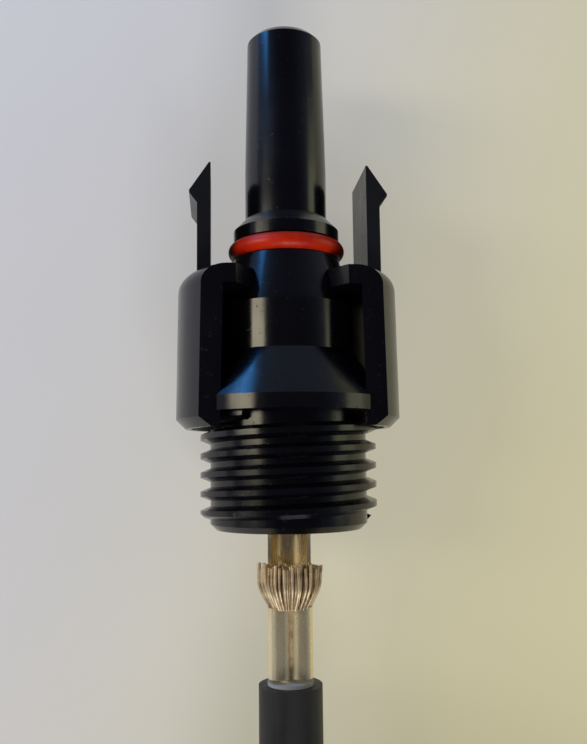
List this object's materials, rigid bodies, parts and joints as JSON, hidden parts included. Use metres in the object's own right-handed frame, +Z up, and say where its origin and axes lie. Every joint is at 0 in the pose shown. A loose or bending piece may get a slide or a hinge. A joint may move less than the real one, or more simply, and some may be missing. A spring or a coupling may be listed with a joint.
{
  "type": "solar cable connector",
  "caption": "Latching half of a solar cable connector with a probe, sealing ring, threaded sleeve and a crimped contact part way in, on a coiled lead.",
  "frame": {"origin": "on the connector's axis at the root of the probe, where it meets the shoulder", "axes": "+Y along the axis towards the probe's tip, +Z up, +X to the right; the connector lies on its side"},
  "size_m": [0.0624, 0.1507, 0.0269],
  "materials": {
    "housing_black": "glossy moulded",
    "ring_orange": "smooth",
    "plated_contact": "bright plated",
    "spring_brass": "bright",
    "spring_steel": "bright stamped",
    "copper_strand": "drawn wire",
    "insulation_grey": "matt",
    "jacket_black": "smooth matt",
    "tie_black": "matt",
    "seal_rubber": "smooth"
  },
  "bodies": {
    "housing": {"housing_body": "housing_black", "o_ring": "ring_orange"},
    "left_latch": {"latch_arm_left": "housing_black"},
    "right_latch": {"latch_arm_right": "housing_black"},
    "contact": {"contact_socket": "plated_contact", "louvre_band": "spring_brass", "retention_clip": "spring_steel", "strand_core": "copper_strand", "strand_brush": "copper_strand", "inner_insulation": "insulation_grey", "cable_jacket": "jacket_black", "cable_run": "jacket_black", "cable_coil": "jacket_black", "coil_tie_near": "tie_black", "coil_tie_far": "tie_black", "far_insulation": "insulation_grey", "far_strands": "copper_strand"},
    "seal": {"gland_seal": "seal_rubber"},
    "cage": {"clamp_cage": "housing_black"},
    "nut": {"gland_nut": "housing_black"}
  },
  "joints": [
    {"name": "left_latch_flex", "type": "hinge", "parent": "housing", "child": "left_latch", "pos_m": [-0.0073, -0.00572, 0], "axis": [0, 0, -1], "range_deg": [0, 6], "stiffness_Nm_per_rad": 0.05},
    {"name": "right_latch_flex", "type": "hinge", "parent": "housing", "child": "right_latch", "pos_m": [0.0073, -0.00572, 0], "axis": [0, 0, 1], "range_deg": [0, 6], "stiffness_Nm_per_rad": 0.05},
    {"name": "contact_insertion", "type": "slide", "parent": "housing", "child": "contact", "axis": [0, 1, 0], "range_m": [0, 0.0225], "deforming": ["retention_clip"]},
    {"name": "seal_slide", "type": "slide", "parent": "contact", "child": "seal", "axis": [0, 1, 0], "range_m": [0, 0.007]},
    {"name": "cage_slide", "type": "slide", "parent": "contact", "child": "cage", "axis": [0, 1, 0], "range_m": [0, 0.001]},
    {"name": "nut_spin", "type": "hinge", "parent": "cage", "child": "nut", "pos_m": [0, -0.069, 0], "axis": [0, 1, 0], "continuous": true}
  ]
}
